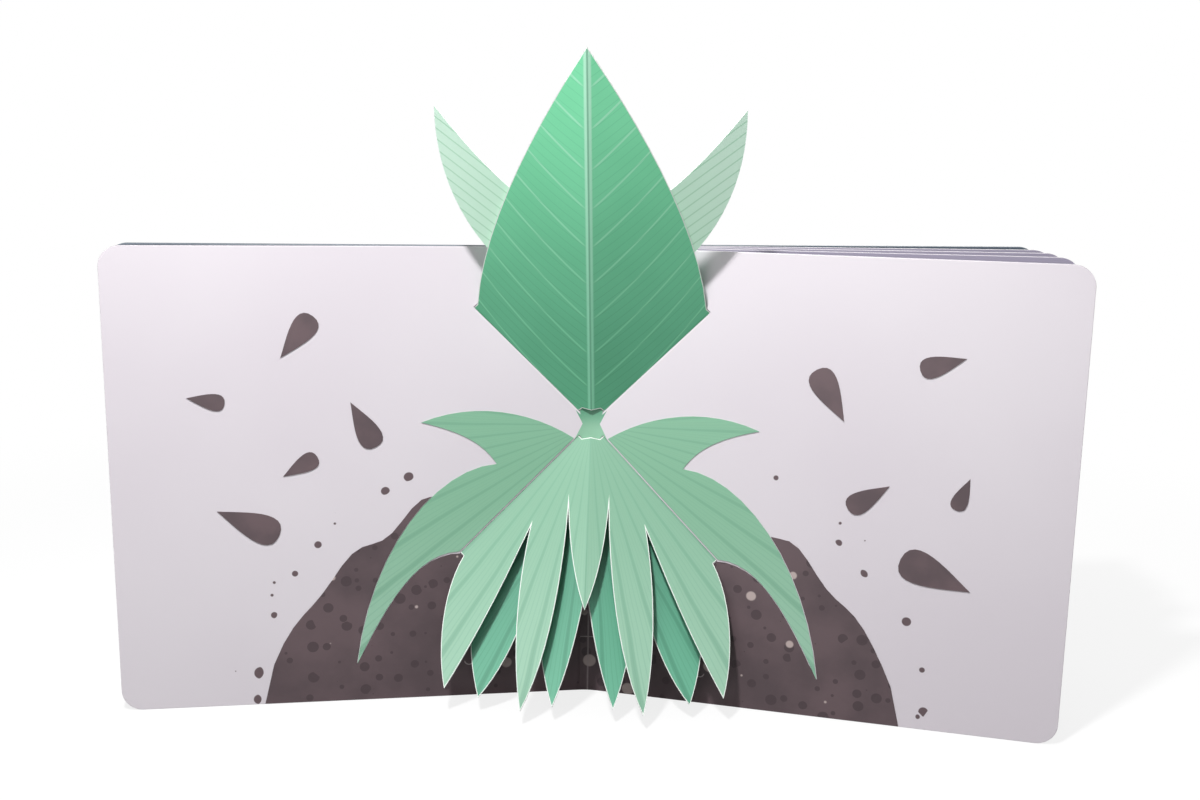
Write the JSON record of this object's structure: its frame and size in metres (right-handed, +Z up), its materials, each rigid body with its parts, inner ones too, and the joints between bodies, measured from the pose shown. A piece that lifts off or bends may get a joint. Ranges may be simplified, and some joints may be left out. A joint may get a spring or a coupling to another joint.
{
  "type": "pop-up board book",
  "caption": "Pop-up board book standing open on its lower edge, with folded card plants rising from the gutter and hinged covers.",
  "frame": {"origin": "foot of the gutter on the standing surface", "axes": "+X to the reader's right, -Y towards the reader, +Z up along the gutter"},
  "size_m": [0.3635, 0.088, 0.2506],
  "materials": {
    "page_board": "satin laminated",
    "cover_board": "satin laminated",
    "mid_green_card": "satin",
    "pale_green_card": "satin",
    "frond_card": "satin",
    "dark_frond_card": "satin",
    "soil_print": "satin",
    "frond_print": "satin"
  },
  "bodies": {
    "pages": {"page_block": "page_board", "spine": "cover_board", "tall_leaf_card": "mid_green_card", "side_leaves_card": "pale_green_card", "front_frond_card": "frond_card", "rear_frond_card": "dark_frond_card", "left_mound_print": "soil_print", "right_mound_print": "soil_print", "left_frond_print": "frond_print", "right_frond_print": "frond_print", "left_seed_print_1": "soil_print", "left_seed_print_2": "soil_print", "left_seed_print_3": "soil_print", "left_seed_print_4": "soil_print", "left_seed_print_5": "soil_print", "right_seed_print_1": "soil_print", "right_seed_print_2": "soil_print", "right_seed_print_3": "soil_print", "right_seed_print_4": "soil_print", "right_seed_print_5": "soil_print"},
    "front_cover": {"front_cover": "cover_board"},
    "back_cover": {"back_cover": "cover_board"}
  },
  "joints": [
    {"name": "front_cover_hinge", "type": "hinge", "parent": "pages", "child": "front_cover", "pos_m": [-0.00717, 0.00474, 0], "axis": [0, 0, 1], "range_deg": [-85, 2.5]},
    {"name": "back_cover_hinge", "type": "hinge", "parent": "pages", "child": "back_cover", "pos_m": [0.00674, 0.01391, 0], "axis": [0, 0, 1], "range_deg": [-4, 85]}
  ]
}
